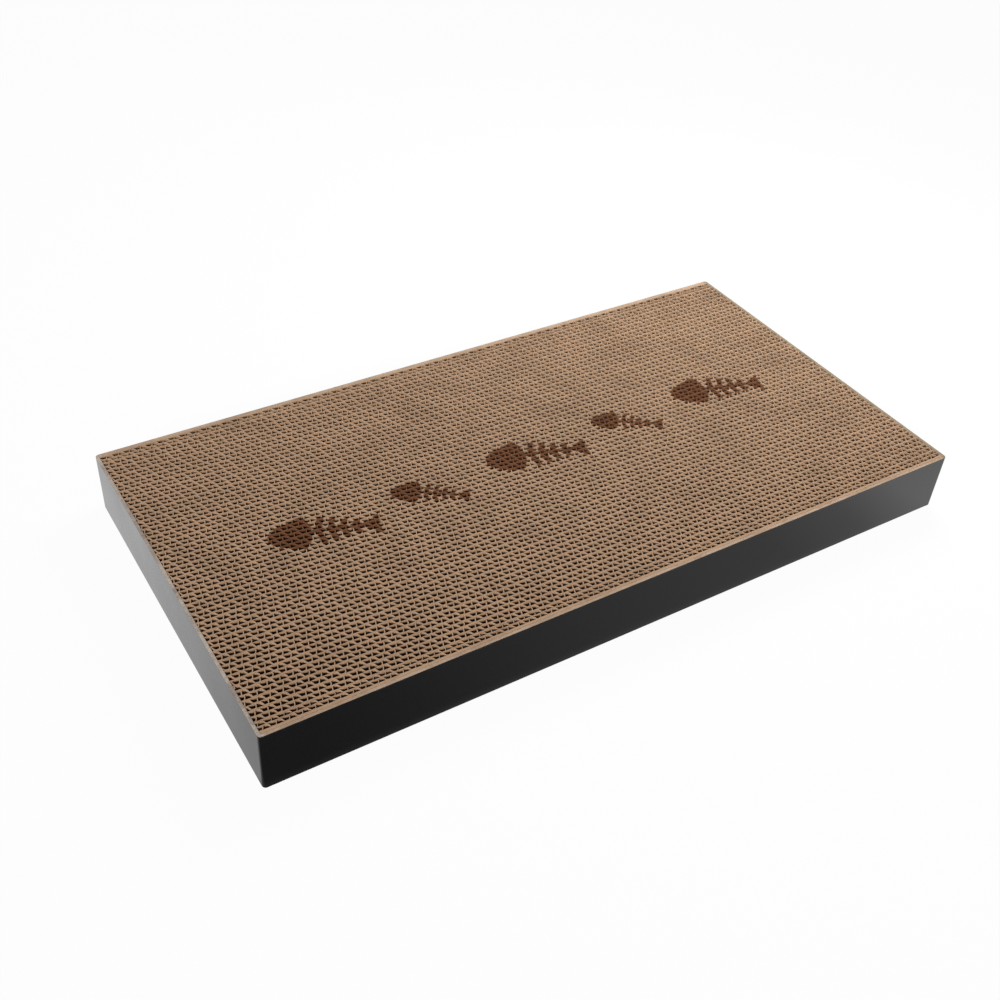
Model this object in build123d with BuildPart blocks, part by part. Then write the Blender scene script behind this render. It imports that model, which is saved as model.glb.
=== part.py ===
from build123d import *
import math
import os

os.makedirs("parts", exist_ok=True)

# Driving dimensions, in millimetres

# Corrugated strips, stood on edge side by side
strip_count = 32
strip_length = 475.8
strip_height = 40.0
liner_thickness = 0.4
medium_thickness = 0.4
flute_depth = 6.6
flute_pitch = 19.0
flute_shift = 7.3

# Dark board folded round the pad of strips
wrap_thickness = 2.0
seam_gap = 0.8
seam_to_corner = 60.0

# Film of glue between any two glued faces
glue_line = 0.1

# Sizes that follow from them

strip_thickness = 2 * (liner_thickness + glue_line) + flute_depth
strip_spacing = strip_thickness + glue_line
pad_width = strip_count * strip_spacing - glue_line

wrap_inner_length = strip_length + 2 * glue_line
wrap_inner_width = pad_width + 2 * glue_line
wrap_length = wrap_inner_length + 2 * wrap_thickness
wrap_width = wrap_inner_width + 2 * wrap_thickness

# The medium is a zigzag of straight flanks. Its paper is thicker along the strip's own
# thickness than across the slanting flank, and its crest to trough rise is what is left.
half_pitch = flute_pitch / 2
flank_angle = math.atan2(flute_depth - medium_thickness, half_pitch)
medium_across = medium_thickness / math.cos(flank_angle)
flute_rise = flute_depth - medium_across


def zigzag_height(along, first_crest):
    """Height of the medium's middle line above its mid plane, at a distance along the strip."""
    from_crest = abs((along - first_crest + half_pitch) % flute_pitch - half_pitch)
    return flute_rise * (0.5 - from_crest / half_pitch)


def medium_outline(first_crest):
    """Closed outline of the fluted medium seen from above: one face forward, the other back."""
    strip_end = strip_length / 2
    first_turn = math.floor((-strip_end - first_crest) / half_pitch) + 1
    last_turn = math.ceil((strip_end - first_crest) / half_pitch) - 1
    turns = [first_crest + k * half_pitch for k in range(first_turn, last_turn + 1)]
    stations = [-strip_end] + turns + [strip_end]
    middle = [(x, zigzag_height(x, first_crest)) for x in stations]
    near_face = [(x, y - medium_across / 2) for x, y in middle]
    far_face = [(x, y + medium_across / 2) for x, y in reversed(middle)]
    return near_face + far_face


# Corrugated strips: two flat liners with the fluted medium between them, cut off across the
# flutes so that the open ends face up and down. The flutes of each strip start a little
# further along than those of the strip before it, as they do in a pad glued up at random.
liner_middle = (strip_thickness - liner_thickness) / 2

for number in range(1, strip_count + 1):
    strip_middle = (number - (strip_count + 1) / 2) * strip_spacing
    with BuildPart() as strip:
        with BuildSketch(Plane(origin=(0, strip_middle, 0))):
            with Locations((0, -liner_middle), (0, liner_middle)):
                Rectangle(strip_length, liner_thickness)
            with BuildLine():
                Polyline(*medium_outline(number * flute_shift), close=True)
            make_face()
        extrude(amount=strip_height)
    strip.part.label = f"strip_{number:02d}"
    export_step(strip.part, f"parts/strip_{number:02d}.step")

# Edge wrap: one length of board round all four sides, sharp at its inside creases and round
# outside them, with its two ends meeting in a butt seam on the back wall.
seam_middle = wrap_length / 2 - seam_to_corner
back_wall_middle = (wrap_width - wrap_thickness) / 2

with BuildPart() as edge_wrap:
    with BuildSketch():
        RectangleRounded(wrap_length, wrap_width, wrap_thickness)
        Rectangle(wrap_inner_length, wrap_inner_width, mode=Mode.SUBTRACT)
        with Locations((seam_middle, back_wall_middle)):
            Rectangle(seam_gap, 2 * wrap_thickness, mode=Mode.SUBTRACT)
    extrude(amount=strip_height)
edge_wrap.part.label = "edge_wrap"
export_step(edge_wrap.part, "parts/edge_wrap.step")

print(f"board {wrap_length:.1f} x {wrap_width:.1f} x {strip_height:.1f} mm, {strip_count} strips")
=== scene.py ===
# %% [markdown]
# # A cardboard cat scratcher
# The board lies flat on the floor. It is a pad of corrugated strips stood on edge, so that a cat scratches
# the open ends of the flutes, with a dark board wrap glued round the four sides and a row of fish bones
# printed on top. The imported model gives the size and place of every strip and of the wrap. Here each of
# them is modelled again at its real gauge and given its paper, ink and light.

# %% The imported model
import math
import random

import bmesh
import bpy
from mathutils import Matrix, Vector


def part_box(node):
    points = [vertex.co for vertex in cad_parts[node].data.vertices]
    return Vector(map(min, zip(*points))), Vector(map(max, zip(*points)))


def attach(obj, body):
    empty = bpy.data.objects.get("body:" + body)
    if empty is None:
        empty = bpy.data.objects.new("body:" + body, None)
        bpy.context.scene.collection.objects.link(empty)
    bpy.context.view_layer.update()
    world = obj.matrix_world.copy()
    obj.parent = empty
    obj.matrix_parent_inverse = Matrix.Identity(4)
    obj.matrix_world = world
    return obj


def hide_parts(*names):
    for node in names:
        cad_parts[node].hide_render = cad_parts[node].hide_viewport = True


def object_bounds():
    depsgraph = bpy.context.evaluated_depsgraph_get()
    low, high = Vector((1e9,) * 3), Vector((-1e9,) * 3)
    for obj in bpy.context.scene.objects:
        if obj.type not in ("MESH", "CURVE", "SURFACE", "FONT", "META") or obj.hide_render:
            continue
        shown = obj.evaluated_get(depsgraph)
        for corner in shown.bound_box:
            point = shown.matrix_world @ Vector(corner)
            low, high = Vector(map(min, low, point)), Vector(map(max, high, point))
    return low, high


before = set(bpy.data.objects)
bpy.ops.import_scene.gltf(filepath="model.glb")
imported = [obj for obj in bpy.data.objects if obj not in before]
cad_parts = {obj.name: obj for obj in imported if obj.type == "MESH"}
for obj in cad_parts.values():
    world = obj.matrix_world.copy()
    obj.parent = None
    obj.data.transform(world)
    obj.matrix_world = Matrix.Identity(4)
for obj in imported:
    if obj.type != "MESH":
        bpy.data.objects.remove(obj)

cad_box = [list(corner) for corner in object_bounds()]
strip_names = sorted(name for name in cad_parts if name.startswith("strip_"))
mm = 0.001
print("packed model:", len(strip_names), "strips, box", cad_box)

# %% [markdown]
# ## Working by hand, in code
# An operator acts on whatever is selected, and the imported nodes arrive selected. So every piece starts with
# nothing selected, and inside edit mode the vertices or faces to work on are picked by where they are.
# These helpers do that picking and the applying of modifiers, and every later cell uses them.

# %% Helpers for selecting and finishing
# Edges that turn by more than this stay sharp
sharp_angle = math.radians(50)


def start_piece(name):
    """Names the primitive that was just added and makes its size and place part of its mesh."""
    piece = bpy.context.object
    piece.name = name
    piece.data.name = name
    bpy.ops.object.transform_apply(location=True, rotation=True, scale=True)
    return piece


def only(piece):
    """Leaves one object selected and active, as a click on it would."""
    bpy.ops.object.select_all(action="DESELECT")
    piece.select_set(True)
    bpy.context.view_layer.objects.active = piece


def pick_vertices(piece, test):
    """Selects, in edit mode, the vertices whose place passes the test."""
    bpy.ops.mesh.select_mode(type="VERT")
    shape = bmesh.from_edit_mesh(piece.data)
    for vertex in shape.verts:
        vertex.select = test(vertex.co)
    shape.select_flush_mode()
    bmesh.update_edit_mesh(piece.data)


def pick_faces(piece, test):
    """Selects, in edit mode, the faces whose middle and normal pass the test."""
    bpy.ops.mesh.select_mode(type="FACE")
    shape = bmesh.from_edit_mesh(piece.data)
    for face in shape.faces:
        face.select_set(test(face.calc_center_median(), face.normal))
    shape.select_flush_mode()
    bmesh.update_edit_mesh(piece.data)


def finish_with(piece, kind, **settings):
    """Adds a modifier, sets it and applies it."""
    only(piece)
    bpy.ops.object.modifier_add(type=kind)
    modifier = piece.modifiers[-1]
    for name, value in settings.items():
        setattr(modifier, name, value)
    bpy.ops.object.modifier_apply(modifier=modifier.name)


bpy.ops.object.select_all(action="DESELECT")
print("helpers ready")

# %% [markdown]
# ## The camera
# The photo looks down on the board's front left corner. Fitting the board's corners to the photo gave the
# camera's place, its lens and a slight roll. A camera is a frame of three directions, so it is set with a
# matrix: its right, its up and the way back from what it looks at.

# %% Camera
camera_place = Vector((-0.3670, -0.5033, 0.5218))
camera_aim = Vector((-0.0146, 0.0130, 0.0))
camera_roll = math.radians(4.267)
lens_mm = 44.83
sensor_mm = 36.0

backward = (camera_place - camera_aim).normalized()
level_right = Vector((0, 0, 1)).cross(backward).normalized()
level_up = backward.cross(level_right)
right = math.cos(camera_roll) * level_right + math.sin(camera_roll) * level_up
up = math.cos(camera_roll) * level_up - math.sin(camera_roll) * level_right

camera_data = bpy.data.cameras.new("photo_camera")
camera_data.lens = lens_mm
camera_data.sensor_width = sensor_mm
camera = bpy.data.objects.new("photo_camera", camera_data)
bpy.context.collection.objects.link(camera)
camera.matrix_world = Matrix.Translation(camera_place) @ Matrix((right, up, backward)).transposed().to_4x4()
bpy.context.scene.camera = camera
print("camera looks down", round(math.degrees(math.asin(backward.z)), 1), "degrees")

# %% [markdown]
# ## A small kit for materials
# A material is a graph of nodes. Most of the ones below are sums and thresholds, so these helpers add one
# node each and link it, and the recipes then read like formulas.

# %% Helpers for node graphs


class Graph:
    """Adds nodes to one tree. Inputs may be numbers, colours or other nodes' outputs."""

    def __init__(self, tree):
        self.tree = tree

    def feed(self, socket, value):
        if isinstance(value, bpy.types.NodeSocket):
            self.tree.links.new(value, socket)
        else:
            socket.default_value = value

    def node(self, kind, **settings):
        made = self.tree.nodes.new(kind)
        for name, value in settings.items():
            setattr(made, name, value)
        return made

    def math(self, operation, first, second=0.0):
        made = self.node("ShaderNodeMath", operation=operation)
        self.feed(made.inputs[0], first)
        self.feed(made.inputs[1], second)
        return made.outputs[0]

    def ramp(self, value, low, high, to_low=0.0, to_high=1.0):
        """A soft step from to_low at low to to_high at high."""
        made = self.node("ShaderNodeMapRange", interpolation_type="SMOOTHSTEP")
        for socket, number in zip(("Value", "From Min", "From Max", "To Min", "To Max"),
                                  (value, low, high, to_low, to_high)):
            self.feed(made.inputs[socket], number)
        return made.outputs[0]

    def noise(self, place, scale, detail=2.0, roughness=0.5):
        made = self.node("ShaderNodeTexNoise")
        self.feed(made.inputs["Vector"], place)
        self.feed(made.inputs["Scale"], scale)
        self.feed(made.inputs["Detail"], detail)
        self.feed(made.inputs["Roughness"], roughness)
        return made.outputs["Fac"]

    def split(self, place):
        """The X, Y and Z of a place."""
        made = self.node("ShaderNodeSeparateXYZ")
        self.feed(made.inputs[0], place)
        return made.outputs

    def stretched(self, place, scale):
        made = self.node("ShaderNodeVectorMath", operation="MULTIPLY")
        self.feed(made.inputs[0], place)
        self.feed(made.inputs[1], scale)
        return made.outputs[0]

    def blend(self, share, first, second, blend_type="MIX"):
        made = self.node("ShaderNodeMix", data_type="RGBA", blend_type=blend_type)
        self.feed(made.inputs[0], share)
        self.feed(made.inputs[6], first)
        self.feed(made.inputs[7], second)
        return made.outputs[2]


def new_group(name, inputs, outputs):
    """A shader node group with named sockets, its graph, and its input and output nodes."""
    tree = bpy.data.node_groups.new(name, "ShaderNodeTree")
    for socket, kind in inputs.items():
        tree.interface.new_socket(socket, in_out="INPUT", socket_type=kind)
    for socket, kind in outputs.items():
        tree.interface.new_socket(socket, in_out="OUTPUT", socket_type=kind)
    graph = Graph(tree)
    return graph, graph.node("NodeGroupInput"), graph.node("NodeGroupOutput")


def place_group(graph, name, **inputs):
    """Puts a group into a material with its own values."""
    made = graph.node("ShaderNodeGroup", node_tree=bpy.data.node_groups[name])
    for socket, value in inputs.items():
        graph.feed(made.inputs[socket], value)
    return made.outputs


def new_material(name):
    """A material with one Principled shader, and the graph to build on."""
    material = bpy.data.materials.new(name)
    material.use_nodes = True
    graph = Graph(material.node_tree)
    shader = material.node_tree.nodes["Principled BSDF"]
    place = graph.node("ShaderNodeTexCoord").outputs["Object"]
    return material, graph, shader, place


print("node helpers ready")

# %% [markdown]
# ## Floor and light
# The board lies on plain white. A floor that is only painted white goes grey where the light falls off, so
# to the camera it is mostly its own even white, and partly a lit surface that keeps the board's shadow.
# Under the board it has no white of its own, or it would shine up through the flutes. The light is a weak
# even room, a broad low window on the front left, whose slanting light leaves the flutes dark and the lips
# bright, and a small softbox over the back right, because the photo grows lighter that way. The dark walls
# mirror the floor close to them, and the photo shows it greyer there, most of all by the front left corner.
# So a gloss sees a painted shadow: a greyer strip of floor than the camera does.

# %% Floor, world and lights
floor_size = 8.0
floor_white = (0.95, 0.95, 0.945, 1)
even_white_share = 0.94
far_white = 0.975
room_strength = 0.18
window_from = Vector((-1.84, -1.84, 1.27))
window_strength = 2.95
window_angle = math.radians(11)
softbox_place = Vector((0.38, 0.20, 0.50))
softbox_size = 0.3
softbox_power = 2.65
# A painted shadow on the floor, seen only in a gloss: greyer round the front left corner and in front
shadow_corner = (-0.25, -0.14, 0)
shadow_reach = 0.24
corner_shadow_level = 0.58
# Place along X and brightness of the painted shadow on the strip of floor in front of the board, in a gloss
front_shadow_in_gloss = [(-0.20, 0.12), (0.0, 0.30), (0.12, 0.40), (0.18, 0.57), (0.235, 1.0)]
# How far in front of the board that strip fades in and fades out again
strip_fade_in = (-10 * mm, 5 * mm)
strip_fade_out = (45 * mm, 115 * mm)
# How far inside the board's outline the floor's own white ends
white_overlap = 3 * mm

bpy.ops.mesh.primitive_plane_add(size=floor_size, location=(0, 0, 0))
floor = start_piece("floor")


def seen_directly(graph):
    """1 for rays that look at the surface, straight or in a gloss or a glass, and 0 for bounced light."""
    path = graph.node("ShaderNodeLightPath").outputs
    looked_at = graph.math("MAXIMUM", path["Is Camera Ray"], path["Is Glossy Ray"])
    return graph.math("MAXIMUM", looked_at, path["Is Transmission Ray"])


def straight_between(graph, value, points):
    """A brightness that runs straight from each given point to the next."""
    low, high = points[0][0], points[-1][0]
    made = graph.node("ShaderNodeValToRGB")
    graph.feed(made.inputs[0], graph.math("DIVIDE", graph.math("SUBTRACT", value, low), high - low))
    elements = made.color_ramp.elements
    elements[0].color = (points[0][1],) * 3 + (1,)
    elements[1].color = (points[-1][1],) * 3 + (1,)
    for place, level in points[1:-1]:
        elements.new((place - low) / (high - low)).color = (level,) * 3 + (1,)
    return made.outputs["Color"]


def floor_brightness(graph, place, along, across):
    """1 to the camera, and in a gloss a painted shadow, greyer towards the front corner and in front of the
    board.
    """
    from_corner = graph.node("ShaderNodeVectorMath", operation="DISTANCE")
    graph.feed(from_corner.inputs[0], place)
    from_corner.inputs[1].default_value = shadow_corner
    shadow_by_corner = graph.ramp(from_corner.outputs["Value"], 0.0, shadow_reach, corner_shadow_level, 1.0)
    front = cad_box[0][1]
    faded_in = graph.ramp(across, front - strip_fade_in[1], front - strip_fade_in[0], 1.0, 0.0)
    not_faded_out = graph.ramp(across, front - strip_fade_out[1], front - strip_fade_out[0])
    in_front = graph.math("MULTIPLY", faded_in, not_faded_out)
    strip = graph.blend(in_front, (1, 1, 1, 1), straight_between(graph, along, front_shadow_in_gloss))
    camera_ray = graph.node("ShaderNodeLightPath").outputs["Is Camera Ray"]
    return graph.math("MAXIMUM", camera_ray, graph.math("MULTIPLY", shadow_by_corner, strip))


def floor_material():
    material, graph, shader, place = new_material("white_floor")
    shader.inputs["Base Color"].default_value = floor_white
    shader.inputs["Roughness"].default_value = 1.0
    shader.inputs["Specular IOR Level"].default_value = 0.0
    spot = graph.split(place)
    along, across = spot["X"], spot["Y"]
    past_ends = graph.math("GREATER_THAN", graph.math("ABSOLUTE", along), cad_box[1][0] - white_overlap)
    past_walls = graph.math("GREATER_THAN", graph.math("ABSOLUTE", across), cad_box[1][1] - white_overlap)
    beside_board = graph.math("MULTIPLY", graph.math("MAXIMUM", past_ends, past_walls), even_white_share)
    even = graph.node("ShaderNodeEmission")
    graph.feed(even.inputs["Strength"], floor_brightness(graph, place, along, across))
    mix = graph.node("ShaderNodeMixShader")
    graph.feed(mix.inputs[0], graph.math("MULTIPLY", seen_directly(graph), beside_board))
    graph.feed(mix.inputs[1], shader.outputs[0])
    graph.feed(mix.inputs[2], even.outputs[0])
    graph.feed(material.node_tree.nodes["Material Output"].inputs["Surface"], mix.outputs[0])
    return material


def white_room():
    """A weak even light that looks as white as the floor far from the board, so that no horizon shows."""
    world = bpy.data.worlds.new("white_room")
    world.use_nodes = True
    graph = Graph(world.node_tree)
    background = world.node_tree.nodes["Background"]
    background.inputs["Color"].default_value = (1, 1, 1, 1)
    looks_white = graph.math("MULTIPLY", seen_directly(graph), far_white)
    graph.feed(background.inputs["Strength"], graph.math("MAXIMUM", looks_white, room_strength))
    return world


floor.data.materials.append(floor_material())
bpy.context.scene.world = white_room()
bpy.context.scene.view_settings.view_transform = "Standard"


def add_light(name, kind, place, energy):
    """A light at a place, turned to shine on the board's middle."""
    data = bpy.data.lights.new(name, kind)
    data.energy = energy
    light = bpy.data.objects.new(name, data)
    bpy.context.collection.objects.link(light)
    light.location = place
    light.rotation_euler = place.to_track_quat("Z", "Y").to_euler()
    light.visible_camera = False
    return data


add_light("window", "SUN", window_from, window_strength).angle = window_angle
add_light("softbox", "AREA", softbox_place, softbox_power).size = softbox_size
print("lit by a room of", room_strength, "a window of", window_strength, "and a softbox of", softbox_power)

# %% [markdown]
# ## Paper
# Every surface of the board is paper: brown kraft in the strips, raw board at the wrap's cut edges, and a
# dark coated sheet on the wrap's face. They share one effect, fibres and flecks, so that is a node group
# with inputs for how large the fibres are. It puts out a tone, a mask of flecks and a height for the bump.

# %% Paper fibre group
fibre_stretch = (0.35, 1.0, 1.0)
fibre_share = 0.55
fleck_coarseness = 0.4
fleck_levels = (0.62, 0.70)


def paper_fibre_group():
    graph, given, result = new_group(
        "paper_fibre",
        {"Vector": "NodeSocketVector", "Fibre Scale": "NodeSocketFloat", "Cloud Scale": "NodeSocketFloat"},
        {"Tone": "NodeSocketFloat", "Fleck": "NodeSocketFloat", "Height": "NodeSocketFloat"},
    )
    place = given.outputs["Vector"]
    lengthwise = graph.stretched(place, fibre_stretch)
    fibres = graph.noise(lengthwise, given.outputs["Fibre Scale"], detail=3.0, roughness=0.65)
    clouds = graph.noise(place, given.outputs["Cloud Scale"], detail=2.0)
    fibre_part = graph.math("MULTIPLY", fibres, fibre_share)
    cloud_part = graph.math("MULTIPLY", clouds, 1 - fibre_share)
    tone = graph.math("ADD", fibre_part, cloud_part)
    fleck_scale = graph.math("MULTIPLY", given.outputs["Fibre Scale"], fleck_coarseness)
    flecks = graph.noise(lengthwise, fleck_scale, detail=1.0)
    graph.feed(result.inputs["Tone"], tone)
    graph.feed(result.inputs["Fleck"], graph.ramp(flecks, *fleck_levels))
    graph.feed(result.inputs["Height"], fibres)
    return graph.tree


def paper_fibres(graph, place, fibre_scale, cloud_scale):
    """The group in a material, with the sizes of that paper's own fibres and clouds."""
    sizes = {"Fibre Scale": fibre_scale, "Cloud Scale": cloud_scale}
    return place_group(graph, "paper_fibre", Vector=place, **sizes)


def fibre_bump(graph, shader, paper, strength, depth):
    """Lets the fibres stand up from the surface a little."""
    bump = graph.node("ShaderNodeBump")
    bump.inputs["Strength"].default_value = strength
    bump.inputs["Distance"].default_value = depth
    graph.feed(bump.inputs["Height"], paper["Height"])
    graph.feed(shader.inputs["Normal"], bump.outputs[0])


paper_fibre_group()
print("paper fibre group made")

# %% [markdown]
# ## The fish bone print
# The print is the fish bone that cat goods often carry: a full head with its nose held a little low, a
# spine, four pairs of ribs that grow shorter towards the tail, and a forked tail. It could be a flat mesh
# laid on the flutes, but ink has no thickness and runs down into them. As a formula in the paper's material
# it does that, and stays sharp at any size. The group works on a fish one unit long, with its nose at zero
# and its tail along +X, and the material places five.

# %% Fish bone group
head_length = 0.392
head_half_height = 0.239
nose_drop = 0.038
head_fullness = 0.41
gill_curve = 1.5
spine_half_width = 0.025
first_rib = 0.444
rib_spacing = 0.111
rib_pairs = 4
rib_half_width = 0.030
rib_sweep = 0.24
rib_reach = 0.18
rib_taper = 0.25
tail_root = 0.81
tail_spread = 0.70
tail_notch = 0.985
notch_slope = 0.75
soft_edge = 0.008


def fish_bone_group():
    graph, given, result = new_group(
        "fish_bone", {"Vector": "NodeSocketVector"}, {"Ink": "NodeSocketFloat"}
    )
    spot = graph.split(given.outputs["Vector"])
    along = spot["X"]
    across = graph.math("ABSOLUTE", spot["Y"])

    def below(value, limit):
        """1 where the value is under the limit, with a soft edge."""
        return graph.ramp(graph.math("SUBTRACT", value, limit), -soft_edge, soft_edge, 1.0, 0.0)

    def both(first, second):
        return graph.math("MULTIPLY", first, second)

    # Head: widens in a full curve from a low nose and ends in round gills
    from_nose = graph.math("MAXIMUM", graph.math("DIVIDE", along, head_length), 0.0)
    to_gill = graph.math("SUBTRACT", 1.0, from_nose)
    lowered = graph.math("ADD", spot["Y"], graph.math("MULTIPLY", to_gill, nose_drop))
    widening = graph.math("MULTIPLY", graph.math("POWER", from_nose, head_fullness), head_half_height)
    gill = graph.math("ADD", along, graph.math("MULTIPLY", graph.math("POWER", across, 2.0), gill_curve))
    in_profile = below(graph.math("ABSOLUTE", lowered), widening)
    head = both(in_profile, both(below(0.0, along), below(gill, head_length)))

    # Spine: a thin bar from inside the head to the tail
    in_length = both(below(head_length / 2, along), below(along, tail_notch))
    spine = both(below(across, spine_half_width), in_length)

    # Ribs: bars swept towards the tail, one in each cell of a repeated length
    swept = graph.math("SUBTRACT", along, graph.math("MULTIPLY", across, rib_sweep))
    cell = graph.math("DIVIDE", graph.math("SUBTRACT", swept, first_rib - rib_spacing / 2), rib_spacing)
    off_middle = graph.math("ABSOLUTE", graph.math("SUBTRACT", graph.math("FRACT", cell), 0.5))
    bars = below(graph.math("MULTIPLY", off_middle, rib_spacing), rib_half_width)
    in_row = both(below(0.0, cell), below(cell, float(rib_pairs)))
    past_first = graph.math("SUBTRACT", swept, first_rib)
    reach = graph.math("SUBTRACT", rib_reach, graph.math("MULTIPLY", past_first, rib_taper))
    ribs = both(both(bars, in_row), below(across, reach))

    # Tail: a wedge that opens backwards, with a notch in its end
    wedge = graph.math("MULTIPLY", graph.math("SUBTRACT", along, tail_root), tail_spread)
    notch = graph.math("ADD", graph.math("MULTIPLY", across, notch_slope), tail_notch)
    tail = both(both(below(across, wedge), below(along, notch)), below(along, 1.0))

    ink = head
    for bone in (spine, ribs, tail):
        ink = graph.math("MAXIMUM", ink, bone)
    graph.feed(result.inputs["Ink"], ink)
    return graph.tree


fish_bone_group()
print("fish bone group made,", rib_pairs, "pairs of ribs")

# %% [markdown]
# ## Kraft board
# The strips are brown kraft paper, and no two come from quite the same sheet. The saw leaves the cut ends
# pale and furry, and hardly any light comes back from deep in a flute. Tracing that light takes many
# bounces, so the scuffed paper is pale for the first millimetre and the walls below it are painted nearly
# black, as painted shade. The print lies on the cut ends and runs a few millimetres down the flutes, where
# the ink was pressed in. Only the strips under the print need that part, so the same recipe makes a plain
# and a printed paper.

# %% Kraft papers
# The walls' colours are painted shade, nearly black, for the light lost deep in the flutes; the darkest also
# colours the flecks
even_shaded_wall = (0.095, 0.060, 0.037, 1)
shaded_wall_light = (0.12, 0.077, 0.048, 1)
dark_fleck_and_shaded_wall = (0.07, 0.043, 0.026, 1)
kraft_end = (0.49, 0.318, 0.200, 1)
kraft_roughness = (0.80, 0.96)
kraft_fibre_scale = 1400.0
kraft_cloud_scale = 45.0
kraft_bump = (0.25, 0.1 * mm)
# The tone that tells one sheet from the next changes slowly along a strip and quickly across the strips
sheet_tone_stretch = (1.2, 129.0, 0.0)
sheet_tone_share = 0.4
even_wall_share = 0.45
fleck_share = 0.15
paper_shine = 0.2
# Ranges of the paper's tone over which its colour, its scuff and its roughness change
wall_tones = (0.40, 0.62)
scuff_tones = (0.30, 0.60)
roughness_tones = (0.3, 0.7)
board_top = cad_box[1][2]
# Pale scuffed paper down to the first millimetre, and painted shade on the walls below about two
painted_shade_depth = 1.8 * mm
full_scuff_depth = 1.0 * mm
thinnest_scuff = 0.7
ink_colour = (0.36, 0.23, 0.165, 1)
full_ink_depth = 1.5 * mm
last_ink_depth = 4.8 * mm
ragged_scale = 700.0
ragged_reach = 2 * mm
printed_fish = [
    # Nose along X and along Y from the board's middle in millimetres, tilt in degrees, length in millimetres
    (-177.7, 7.8, -16.9, 66.1),
    (-95.6, 12.4, -33.1, 48.2),
    (-29.2, 11.7, -16.3, 67.6),
    (55.5, 16.8, -34.1, 47.6),
    (121.3, 15.9, -15.6, 67.1),
]


def printed_ink(graph, place, height):
    """The ink mask: all the fish, a little ragged, fading down into the flutes."""
    ragged = graph.node("ShaderNodeTexNoise")
    graph.feed(ragged.inputs["Vector"], place)
    ragged.inputs["Scale"].default_value = ragged_scale
    centred = graph.node("ShaderNodeVectorMath", operation="SUBTRACT")
    graph.feed(centred.inputs[0], ragged.outputs["Color"])
    centred.inputs[1].default_value = (0.5, 0.5, 0.5)
    moved = graph.node("ShaderNodeVectorMath", operation="MULTIPLY_ADD")
    graph.feed(moved.inputs[0], centred.outputs[0])
    moved.inputs[1].default_value = (ragged_reach, ragged_reach, 0)
    graph.feed(moved.inputs[2], place)
    ink = 0.0
    for nose_along, nose_across, tilt, length in printed_fish:
        onto_fish = graph.node("ShaderNodeMapping", vector_type="TEXTURE")
        graph.feed(onto_fish.inputs["Vector"], moved.outputs[0])
        onto_fish.inputs["Location"].default_value = (nose_along * mm, nose_across * mm, 0)
        onto_fish.inputs["Rotation"].default_value = (0, 0, math.radians(tilt))
        onto_fish.inputs["Scale"].default_value = (length * mm, length * mm, 1)
        fish = place_group(graph, "fish_bone", Vector=onto_fish.outputs[0])["Ink"]
        ink = graph.math("MAXIMUM", fish, ink)
    depth = graph.ramp(height, board_top - last_ink_depth, board_top - full_ink_depth)
    return graph.math("MULTIPLY", ink, depth)


def kraft_paper(name, printed):
    material, graph, shader, place = new_material(name)
    height = graph.split(place)["Z"]
    paper = paper_fibres(graph, place, kraft_fibre_scale, kraft_cloud_scale)
    sheet_tone = graph.noise(graph.stretched(place, sheet_tone_stretch), 1.0, detail=1.0)
    own_part = graph.math("MULTIPLY", paper["Tone"], 1 - sheet_tone_share)
    tone = graph.math("ADD", own_part, graph.math("MULTIPLY", sheet_tone, sheet_tone_share))
    wall = graph.blend(graph.ramp(tone, *wall_tones), dark_fleck_and_shaded_wall, shaded_wall_light)
    wall = graph.blend(even_wall_share, wall, even_shaded_wall)
    # Pale scuffed lip near the top and bottom edges, and painted shade on the walls in between
    from_middle = graph.math("ABSOLUTE", graph.math("SUBTRACT", height, board_top / 2))
    scuff_over_shade = graph.ramp(from_middle, board_top / 2 - painted_shade_depth, board_top / 2 - full_scuff_depth)
    scuff_over_shade = graph.math("MULTIPLY", scuff_over_shade, graph.ramp(paper["Tone"], *scuff_tones, thinnest_scuff, 1.0))
    colour = graph.blend(scuff_over_shade, wall, kraft_end)
    colour = graph.blend(graph.math("MULTIPLY", paper["Fleck"], fleck_share), colour, dark_fleck_and_shaded_wall)
    if printed:
        colour = graph.blend(printed_ink(graph, place, height), colour, ink_colour, "MULTIPLY")
    graph.feed(shader.inputs["Base Color"], colour)
    graph.feed(shader.inputs["Roughness"], graph.ramp(paper["Tone"], *roughness_tones, *kraft_roughness))
    shader.inputs["Specular IOR Level"].default_value = paper_shine
    fibre_bump(graph, shader, paper, *kraft_bump)
    return material


plain_kraft = kraft_paper("kraft_board", printed=False)
printed_kraft = kraft_paper("printed_kraft_board", printed=True)
print("kraft papers made, with", len(printed_fish), "printed fish")

# %% [markdown]
# ## One row of flutes
# A corrugated sheet is flat paper pressed into a wave. It could be a formula over a thousand vertices, but
# by hand it is easier: one flute is a small upright grid whose columns are pushed to and fro, an Array
# modifier lays it end to end, and that long row is later cut to length, as the real board is on its saw. A
# sine would leave pointed cells. Real flutes are full, with steep flanks and broad crests glued to the
# liners, so the wave is squared up and its columns are crowded towards the flanks. The sawn lip is furred
# to twice the paper's thickness, but not on the crests, where the liner already backs it.

# %% Flute row
strip_low, strip_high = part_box(strip_names[0])
strip_length = strip_high.x - strip_low.x
strip_thickness = strip_high.y - strip_low.y
board_height = strip_high.z
flute_pitch = 7.06 * mm
flute_columns = 12
liner_columns = 119
spare_flutes = 3
flute_fullness = 0.2
flank_crowding = 0.18 * mm
liner_paper = 0.42 * mm
medium_paper = 0.55 * mm
facing_paper = 1.6 * mm
faced_row_share = 0.52
below_lip = 0.5
lip_depth = 1.4 * mm
flute_room = (strip_thickness - 3 * liner_paper) / 2
# The crests stop just short of the liners, and count as crests over this share of their swing
crest_clearance = 1.05
crest_share = 0.93
flute_crest = (flute_room - crest_clearance * below_lip * medium_paper) / 2
# How near to a place a vertex has to be, to be picked or welded there
pick_within = 0.1 * mm
weld_within = 0.01 * mm


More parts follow.
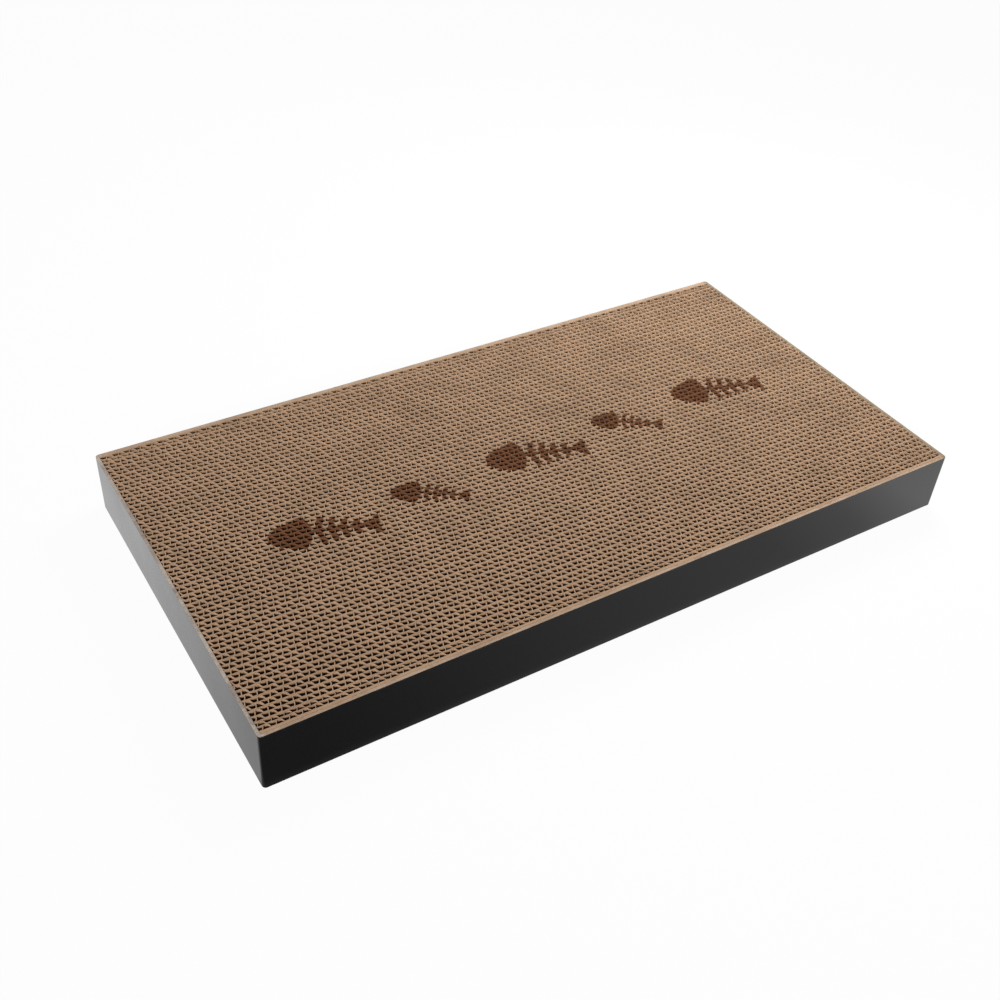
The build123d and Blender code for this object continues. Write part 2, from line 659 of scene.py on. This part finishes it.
def upright_sheet(name, length, columns):
    """A sheet of paper standing on edge along X, with a row of faces for its upper lip."""
    bpy.ops.object.select_all(action="DESELECT")
    bpy.ops.mesh.primitive_grid_add(x_subdivisions=columns, y_subdivisions=2, size=1,
                                    rotation=(math.pi / 2, 0, 0))
    bpy.ops.transform.resize(value=(length, 1, board_height))
    bpy.ops.transform.translate(value=(0, 0, board_height / 2))
    sheet = start_piece(name)
    bpy.ops.object.mode_set(mode="EDIT")
    pick_vertices(sheet, lambda place: abs(place.z - board_height / 2) < pick_within)
    bpy.ops.transform.translate(value=(0, 0, board_height / 2 - lip_depth))
    pick_vertices(sheet, lambda place: place.z > board_height - pick_within)
    bpy.ops.object.vertex_group_add()
    bpy.ops.object.vertex_group_assign()
    bpy.ops.object.mode_set(mode="OBJECT")
    sheet.vertex_groups[0].name = "lip"
    return sheet


def thicken(sheet, thickness, side=0.0):
    """Gives the sheet its thickness, full at the sawn lip and less below it, to one side or both."""
    finish_with(sheet, "SOLIDIFY", thickness=thickness, offset=side, vertex_group="lip",
                thickness_vertex_group=below_lip)


flute_row = upright_sheet("flute_row", flute_pitch, flute_columns)
bpy.ops.object.mode_set(mode="EDIT")
for column in range(flute_columns + 1):
    share = column / flute_columns
    column_x = (share - 0.5) * flute_pitch
    pick_vertices(flute_row, lambda place: abs(place.x - column_x) < weld_within)
    swing = math.cos(2 * math.pi * share)
    push = flute_crest * math.copysign(abs(swing) ** flute_fullness, swing)
    crowd = flank_crowding * math.sin(4 * math.pi * share)
    bpy.ops.transform.translate(value=(crowd, push, 0))
crest_edge = crest_share * flute_crest
pick_vertices(flute_row, lambda place: place.z > board_height - pick_within and abs(place.y) > crest_edge)
bpy.ops.object.vertex_group_remove_from()
bpy.ops.object.mode_set(mode="OBJECT")

flute_count = math.ceil(strip_length / flute_pitch) + spare_flutes
finish_with(flute_row, "ARRAY", count=flute_count, use_merge_vertices=True, merge_threshold=weld_within)
row_length = flute_count * flute_pitch
only(flute_row)
bpy.ops.transform.translate(value=(-(row_length - flute_pitch) / 2, 0, 0))
bpy.ops.object.transform_apply(location=True, rotation=False, scale=False)
liner_sheet = upright_sheet("liner_sheet", strip_length, liner_columns)
print("flute row:", flute_count, "flutes,", len(flute_row.data.polygons), "faces")

# %% [markdown]
# ## Thirty-two strips
# A strip is double-wall board: a liner, a row of flutes, a liner, a second row and a liner. Every row is
# laid up wherever it falls, so each gets its own start along X, a slow drift in its pitch and a lip that
# the saw has roughened. The paper gets its thickness last, and the five sheets are joined into one strip.
# The first and the last strip meet the wrap with a stout facing, and their flutes are pressed flatter for
# it. When the part is exported, each strip's colours are written into one square picture. An automatic
# unwrap gives the thin pale lips only a few of its pixels, so each sheet is mapped here by hand: its two
# sides in four lengths, one above the other, with most of the room for the lip, and its cut ends as seen
# from above.

# %% Strips
lip_roughness = 0.16 * mm
lip_evenness = 0.3
pitch_drift = 2.4 * mm
drift_length = 35 * mm
print_reach = 32 * mm
seeds_per_strip = 10
strip_random = random.Random(20)
# The flat map: the lengths that a strip is cut into, its sheets' sides, the shares of the picture's height
# for those sides and for the cut ends above and below, the lip's share of each side, the margins, and how
# level a face has to be to count as a cut end
map_cuts = 4
sides_in_strip = 10
sides_room = 0.73
top_room = 0.24
bottom_room = 0.03
lip_room = 0.65
length_margin = 0.03
band_margin = 0.05
level_from = 0.7

drift = bpy.data.textures.new("pitch_drift", type="CLOUDS")
drift.noise_scale = drift_length


def copy_sheet(source, name, along, across, squeeze=1.0):
    """A copy with a mesh of its own, pressed flatter where that is asked, and moved to its place."""
    sheet = source.copy()
    sheet.data = source.data.copy()
    sheet.name = name
    bpy.context.collection.objects.link(sheet)
    only(sheet)
    bpy.ops.transform.resize(value=(1, squeeze, 1))
    bpy.ops.transform.translate(value=(along, across, 0))
    bpy.ops.object.transform_apply(location=True, rotation=False, scale=True)
    return sheet


def roughen_lip(sheet, seed):
    """The saw leaves the upper edge of the paper uneven."""
    only(sheet)
    bpy.ops.object.mode_set(mode="EDIT")
    pick_vertices(sheet, lambda place: place.z > board_height - pick_within)
    bpy.ops.transform.vertex_random(offset=lip_roughness, uniform=lip_evenness, normal=0.0, seed=seed)
    bpy.ops.object.mode_set(mode="OBJECT")


def saw_to_length(sheet):
    """Cuts the row off at both ends of the strip."""
    only(sheet)
    bpy.ops.object.mode_set(mode="EDIT")
    for end in (-1, 1):
        bpy.ops.mesh.select_all(action="SELECT")
        bpy.ops.mesh.bisect(plane_co=(end * strip_length / 2, 0, 0), plane_no=(end, 0, 0), clear_outer=True)
    bpy.ops.object.mode_set(mode="OBJECT")


def fluted_sheet(name, near, far, seed):
    """One row of flutes between two liners, with its own start and drift."""
    start = strip_random.uniform(-0.5, 0.5) * flute_pitch
    squeeze = (far - near) / flute_room
    sheet = copy_sheet(flute_row, name, start, (near + far) / 2, squeeze)
    finish_with(sheet, "DISPLACE", texture=drift, texture_coords="GLOBAL", direction="X",
                strength=pitch_drift)
    saw_to_length(sheet)
    roughen_lip(sheet, seed)
    thicken(sheet, medium_paper * squeeze ** 2)
    return sheet


def flat_sheet(name, across, thickness, side, seed):
    """One flat liner in its place, grown from there to one side or both."""
    sheet = copy_sheet(liner_sheet, name, 0, across)
    roughen_lip(sheet, seed)
    thicken(sheet, thickness, side)
    return sheet


def lay_flat(sheet, number, front, back):
    """Maps the sheet flat: both sides in four lengths, mostly lip, and the cut ends as seen from above."""
    flat_map = sheet.data.uv_layers[0]
    flat_map.name = "OFBake"
    lip_start = board_height - lip_depth
    for face in sheet.data.polygons:
        cut = min(max(int((face.center.x / strip_length + 0.5) * map_cuts), 0), map_cuts - 1)
        for corner in face.loop_indices:
            place = sheet.data.vertices[sheet.data.loops[corner].vertex_index].co
            along = (place.x / strip_length + 0.5) * map_cuts - cut
            across = (place.y - front) / (back - front)
            if face.normal.z > level_from:
                height = sides_room + (cut + across) / map_cuts * top_room
            elif face.normal.z < -level_from:
                along = (along + cut) / map_cuts
                height = sides_room + top_room + across * bottom_room
            else:
                band = (2 * number + (face.normal.y > 0)) * map_cuts + cut
                up_wall = min(place.z / lip_start, 1) * (1 - lip_room)
                up_lip = min(max((place.z - lip_start) / lip_depth, 0), 1) * lip_room
                in_band = band_margin + (1 - 2 * band_margin) * (up_wall + up_lip)
                height = (band + in_band) / (sides_in_strip * map_cuts) * sides_room
            flat_map.data[corner].uv = (length_margin + (1 - 2 * length_margin) * along, height)


def corrugated_strip(node):
    low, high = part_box(node)
    seed = seeds_per_strip * int(node[-2:])
    front_paper = liner_paper
    back_paper = liner_paper
    front_share = 0.5
    if node == strip_names[0]:
        front_paper = facing_paper
        front_share = faced_row_share
    if node == strip_names[-1]:
        back_paper = facing_paper
        front_share = 1 - faced_row_share
    front_inside = low.y + front_paper
    back_inside = high.y - back_paper
    middle_front = front_inside + front_share * (back_inside - front_inside - liner_paper)
    middle_back = middle_front + liner_paper
    middle = (middle_front + middle_back) / 2
    sheets = [
        flat_sheet("front_liner", low.y, front_paper, -1.0, seed),
        fluted_sheet("front_medium", front_inside, middle_front, seed + 1),
        flat_sheet("middle_liner", middle, liner_paper, 0.0, seed + 2),
        fluted_sheet("back_medium", middle_back, back_inside, seed + 3),
        flat_sheet("back_liner", high.y, back_paper, 1.0, seed + 4),
    ]
    for number, sheet in enumerate(sheets):
        lay_flat(sheet, number, low.y, high.y)
    bpy.ops.object.select_all(action="DESELECT")
    for sheet in sheets:
        sheet.select_set(True)
    bpy.context.view_layer.objects.active = sheets[0]
    bpy.ops.object.join()
    strip = bpy.context.object
    strip.name = f"corrugated_{node}"
    strip.data.name = strip.name
    bpy.ops.object.shade_smooth_by_angle(angle=sharp_angle)
    return strip


for node in strip_names:
    strip = corrugated_strip(node)
    low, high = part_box(node)
    under_print = abs(low.y + high.y) / 2 < print_reach
    strip.data.materials.clear()
    strip.data.materials.append(printed_kraft if under_print else plain_kraft)
    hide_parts(node)
    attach(strip, "root")

for pattern in (flute_row, liner_sheet):
    bpy.data.objects.remove(pattern)
print("strips made:", len(strip_names), "with", len(strip.data.polygons), "faces in the last")

# %% [markdown]
# ## Wrap papers
# The wrap's face is a black coated paper. Almost all that is seen of it is its gloss, weak when looked at
# squarely and strong along the wall, so its colour is nearly black and the shader's own Fresnel does the
# rest. It is rubbed through here and there at the edges. The cut edges are raw board: brown along the two
# long walls, greyer at the left end and darker at the right one.

# %% Wrap papers
dark_face = (0.003, 0.003, 0.0032, 1)
worn_face = (0.10, 0.085, 0.07, 1)
raw_edge_light = (0.51, 0.372, 0.272, 1)
raw_edge_dark = (0.375, 0.258, 0.175, 1)
dull_edge_light = (0.54, 0.455, 0.385, 1)
dull_edge_dark = (0.27, 0.22, 0.185, 1)
right_edge = (0.265, 0.19, 0.104, 1)
right_edge_share = 0.75
dark_fibre_scale = 900.0
dark_cloud_scale = 30.0
dark_roughness = (0.15, 0.22)
dark_bump = (0.12, 0.05 * mm)
wear_depth = 1.2 * mm
wear_share = 0.6
raw_fibre_scale = 1500.0
raw_cloud_scale = 90.0
raw_roughness = (0.82, 0.95)
raw_bump = (0.4, 0.1 * mm)
short_wall_start = strip_length / 2 - 0.5 * mm
end_blend = 1 * mm
# Ranges of the paper's tone over which the wear, the gloss and the raw board's colour change
wear_tones = (0.50, 0.62)
gloss_tones = (0.35, 0.65)
raw_tones = (0.38, 0.62)


def dark_paper():
    material, graph, shader, place = new_material("dark_wrap_face")
    paper = paper_fibres(graph, place, dark_fibre_scale, dark_cloud_scale)
    from_middle = graph.math("ABSOLUTE", graph.math("SUBTRACT", graph.split(place)["Z"], board_top / 2))
    rim = graph.ramp(from_middle, board_top / 2 - wear_depth, board_top / 2)
    broken = graph.ramp(paper["Tone"], *wear_tones)
    wear = graph.math("MULTIPLY", graph.math("MULTIPLY", rim, broken), wear_share)
    graph.feed(shader.inputs["Base Color"], graph.blend(wear, dark_face, worn_face))
    graph.feed(shader.inputs["Roughness"], graph.ramp(paper["Tone"], *gloss_tones, *dark_roughness))
    fibre_bump(graph, shader, paper, *dark_bump)
    return material


def raw_board():
    material, graph, shader, place = new_material("raw_board_edge")
    paper = paper_fibres(graph, place, raw_fibre_scale, raw_cloud_scale)
    tone = graph.ramp(paper["Tone"], *raw_tones)
    long_wall = graph.blend(tone, raw_edge_dark, raw_edge_light)
    short_wall = graph.blend(tone, dull_edge_dark, dull_edge_light)
    along = graph.split(place)["X"]
    at_right = graph.ramp(along, 0.0, short_wall_start, 0.0, right_edge_share)
    short_wall = graph.blend(at_right, short_wall, right_edge)
    at_end = graph.ramp(graph.math("ABSOLUTE", along), short_wall_start - end_blend, short_wall_start)
    graph.feed(shader.inputs["Base Color"], graph.blend(at_end, long_wall, short_wall))
    graph.feed(shader.inputs["Roughness"], graph.ramp(paper["Tone"], *roughness_tones, *raw_roughness))
    shader.inputs["Specular IOR Level"].default_value = paper_shine
    fibre_bump(graph, shader, paper, *raw_bump)
    return material


wrap_papers = [dark_paper(), raw_board()]
print("wrap papers made")

# %% [markdown]
# ## Edge wrap
# The wrap is one length of solid board, scored and folded round the pad. Four plates would leave four open
# corners, so it is made as it is folded, in one piece: a flat outline is rounded at the corners, inset to
# the board's thickness and pulled up to its height. A saw slit opens the butt seam on the back wall, and a
# small bevel softens the cut edges. Weighted normals keep the glossy walls flat right up to the folds.

# %% Wrap
wrap_low, wrap_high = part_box("edge_wrap")
wrap_size = wrap_high - wrap_low
glue_film = 0.1 * mm
wrap_board = (wrap_size.x - strip_length) / 2 - glue_film
fold_radius = 2.2 * mm
fold_segments = 6
seam_gap = 0.8 * mm
seam_to_corner = 60 * mm
edge_round = 0.18 * mm
edge_segments = 2
large_faces_lead = 100
# How far a wall's normal may lean up or down, and how far a seam's has to lie along the wall
upright_below = 0.6
seam_normal_from = 0.5

bpy.ops.object.select_all(action="DESELECT")
bpy.ops.mesh.primitive_plane_add(size=1)
bpy.ops.transform.resize(value=(wrap_size.x, wrap_size.y, 1))
wrap = start_piece("folded_edge_wrap")
bpy.ops.object.mode_set(mode="EDIT")
bpy.ops.mesh.select_all(action="SELECT")
bpy.ops.mesh.bevel(affect="VERTICES", offset=fold_radius, segments=fold_segments)
bpy.ops.mesh.select_all(action="SELECT")
bpy.ops.mesh.inset(thickness=wrap_board, use_boundary=True)
pick_faces(wrap, lambda middle, normal: middle.length < pick_within)
bpy.ops.mesh.delete(type="FACE")
bpy.ops.mesh.select_all(action="SELECT")
bpy.ops.mesh.extrude_region_move(TRANSFORM_OT_translate={"value": (0, 0, wrap_size.z)})
bpy.ops.mesh.select_all(action="SELECT")
bpy.ops.mesh.normals_make_consistent(inside=False)
bpy.ops.object.mode_set(mode="OBJECT")

bpy.ops.object.select_all(action="DESELECT")
seam_place = (wrap_high.x - seam_to_corner, wrap_high.y, wrap_size.z / 2)
bpy.ops.mesh.primitive_cube_add(size=1, location=seam_place)
bpy.ops.transform.resize(value=(seam_gap, 4 * wrap_board, 2 * wrap_size.z))
seam_saw = start_piece("seam_saw")
finish_with(wrap, "BOOLEAN", operation="DIFFERENCE", object=seam_saw, solver="EXACT")
bpy.data.objects.remove(seam_saw)
finish_with(wrap, "BEVEL", width=edge_round, segments=edge_segments, limit_method="ANGLE",
            angle_limit=sharp_angle)

for paper in wrap_papers:
    wrap.data.materials.append(paper)
core_x = wrap_size.x / 2 - fold_radius
core_y = wrap_size.y / 2 - fold_radius
for face in wrap.data.polygons:
    # How far the face lies outside the core that the folds are round
    past_core = math.hypot(max(abs(face.center.x) - core_x, 0), max(abs(face.center.y) - core_y, 0))
    on_face = past_core > fold_radius - 0.5 * edge_round and abs(face.normal.z) < upright_below
    in_seam = abs(face.normal.x) > seam_normal_from and abs(face.center.x) < core_x
    face.material_index = 0 if on_face and not in_seam else 1
only(wrap)
bpy.ops.object.shade_smooth_by_angle(angle=sharp_angle)
finish_with(wrap, "WEIGHTED_NORMAL", weight=large_faces_lead, keep_sharp=True)
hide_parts("edge_wrap")
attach(wrap, "root")
print("wrap made:", len(wrap.data.polygons), "faces")
